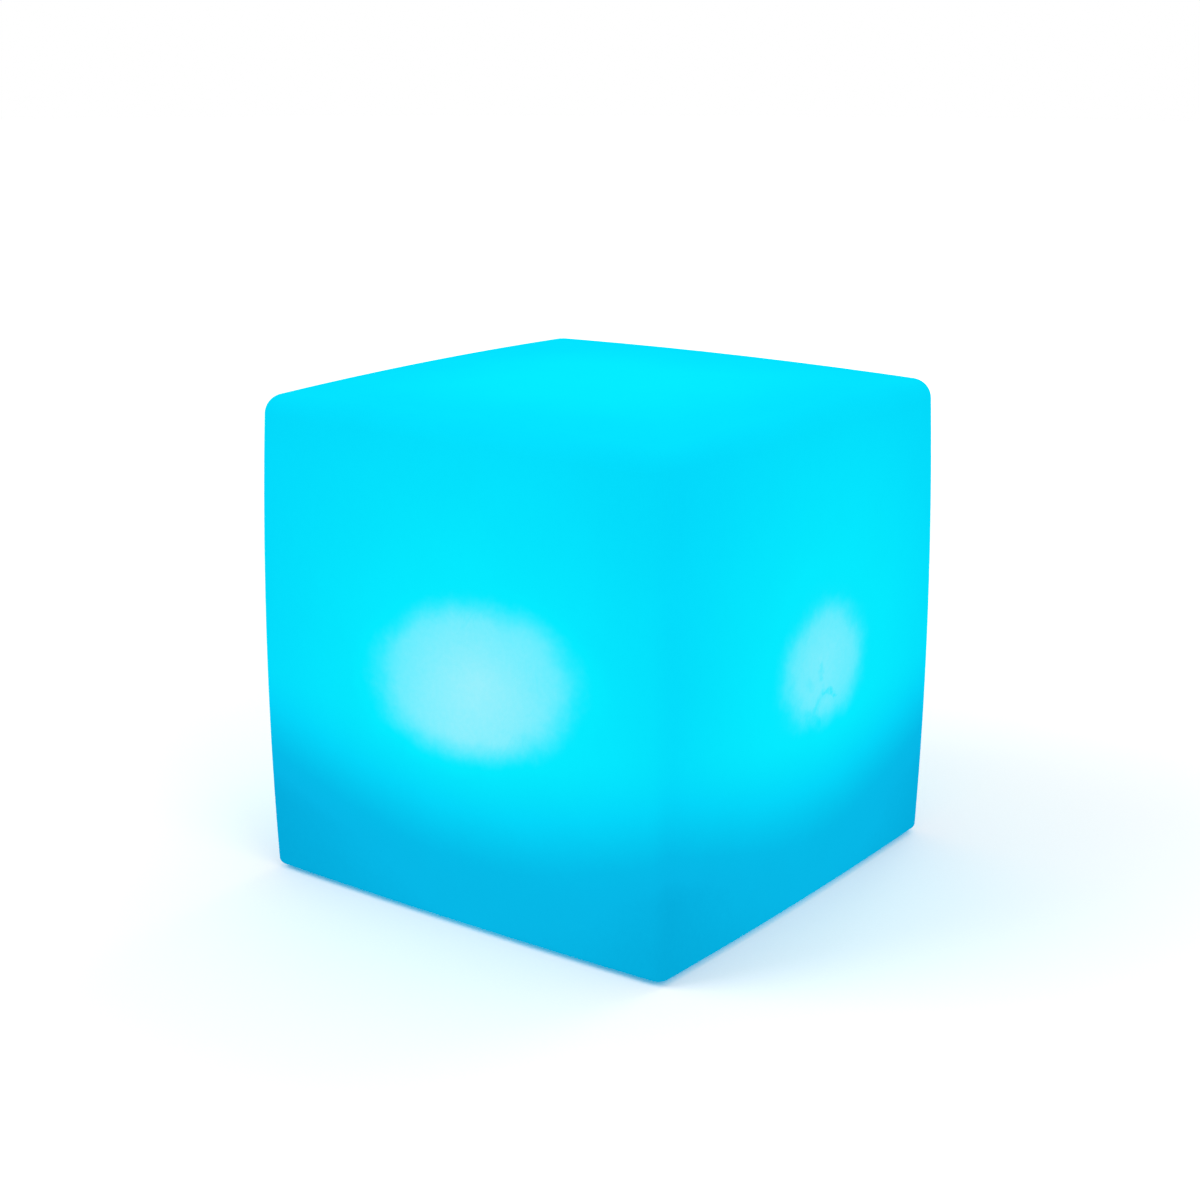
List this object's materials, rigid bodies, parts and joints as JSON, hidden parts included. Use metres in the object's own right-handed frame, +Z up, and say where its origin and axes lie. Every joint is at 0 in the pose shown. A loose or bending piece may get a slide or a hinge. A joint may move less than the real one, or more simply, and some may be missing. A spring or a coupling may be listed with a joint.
{
  "type": "led cube light",
  "caption": "Glowing cube-shaped outdoor light: a soft-edged milky shell, lit cyan from a sealed lamp head inside, with push buttons and a hinged charging door underneath.",
  "frame": {"origin": "on the ground, under the middle of the cube (the undersides of the four feet lie in z = 0)", "axes": "+Z up; -Y is the front, the side nearer the charging door; +X is to the right"},
  "size_m": [0.2, 0.2, 0.1979],
  "materials": {
    "lit_diffuser": "milky polyethylene, lit from inside in cyan",
    "white_moulding": "matte",
    "black_moulding": "satin",
    "grey_rubber": "matte",
    "black_rubber": "satin",
    "stainless": "satin",
    "turned_brass": "satin",
    "nickel_strip": "satin",
    "bare_aluminium": "satin",
    "green_board": "satin",
    "white_board": "satin",
    "cell_sleeve": "satin",
    "red_lead": "satin",
    "grey_ribbon": "satin",
    "lit_chip": "satin",
    "dark_window": "gloss",
    "clear_pipe": "gloss",
    "clear_dome": "gloss"
  },
  "bodies": {
    "lamp": {"base_plate": "white_moulding", "base_screws": "stainless", "base_seal": "black_rubber", "battery_cell_front": "cell_sleeve", "battery_cell_rear": "cell_sleeve", "battery_leads": "red_lead", "battery_links": "nickel_strip", "battery_tray": "black_moulding", "board_parts": "black_moulding", "board_screws": "stainless", "charge_indicator": "clear_pipe", "control_board": "green_board", "diffuser_shell": "lit_diffuser", "dome_ring": "white_moulding", "dome_seal": "black_rubber", "foot_front_left": "grey_rubber", "foot_front_right": "grey_rubber", "foot_rear_left": "grey_rubber", "foot_rear_right": "grey_rubber", "front_board": "white_board", "front_chips": "lit_chip", "head_plate": "white_moulding", "hinge_pin": "stainless", "housing_screws": "stainless", "housing_seal": "black_rubber", "jack_body": "black_moulding", "jack_gasket": "black_rubber", "jack_nut": "stainless", "jack_pin": "turned_brass", "lamp_harness": "grey_ribbon", "lamp_housing": "white_moulding", "left_board": "white_board", "left_chips": "lit_chip", "lens_dome": "clear_dome", "light_block": "bare_aluminium", "light_screws": "stainless", "mode_switch_body": "black_moulding", "mode_switch_nut": "stainless", "mode_switch_seal": "black_rubber", "power_switch_body": "black_moulding", "power_switch_nut": "stainless", "power_switch_seal": "black_rubber", "protection_board": "green_board", "rear_board": "white_board", "rear_chips": "lit_chip", "remote_receiver": "dark_window", "right_board": "white_board", "right_chips": "lit_chip", "threaded_inserts": "turned_brass", "top_board": "white_board", "top_chips": "lit_chip"},
    "power_button": {"power_button": "grey_rubber"},
    "mode_button": {"mode_button": "grey_rubber"},
    "port_door": {"port_door": "white_moulding", "door_pad": "grey_rubber"}
  },
  "joints": [
    {"name": "power_button_press", "type": "slide", "parent": "lamp", "child": "power_button", "axis": [0, 0, 1], "range_m": [0, 0.0008], "stiffness_N_per_m": 500, "springref_m": -0.0004},
    {"name": "mode_button_press", "type": "slide", "parent": "lamp", "child": "mode_button", "axis": [0, 0, 1], "range_m": [0, 0.0008], "stiffness_N_per_m": 500, "springref_m": -0.0004},
    {"name": "port_door_hinge", "type": "hinge", "parent": "lamp", "child": "port_door", "pos_m": [0, -0.006, 0.0052], "axis": [1, 0, 0], "range_deg": [0, 130]}
  ]
}
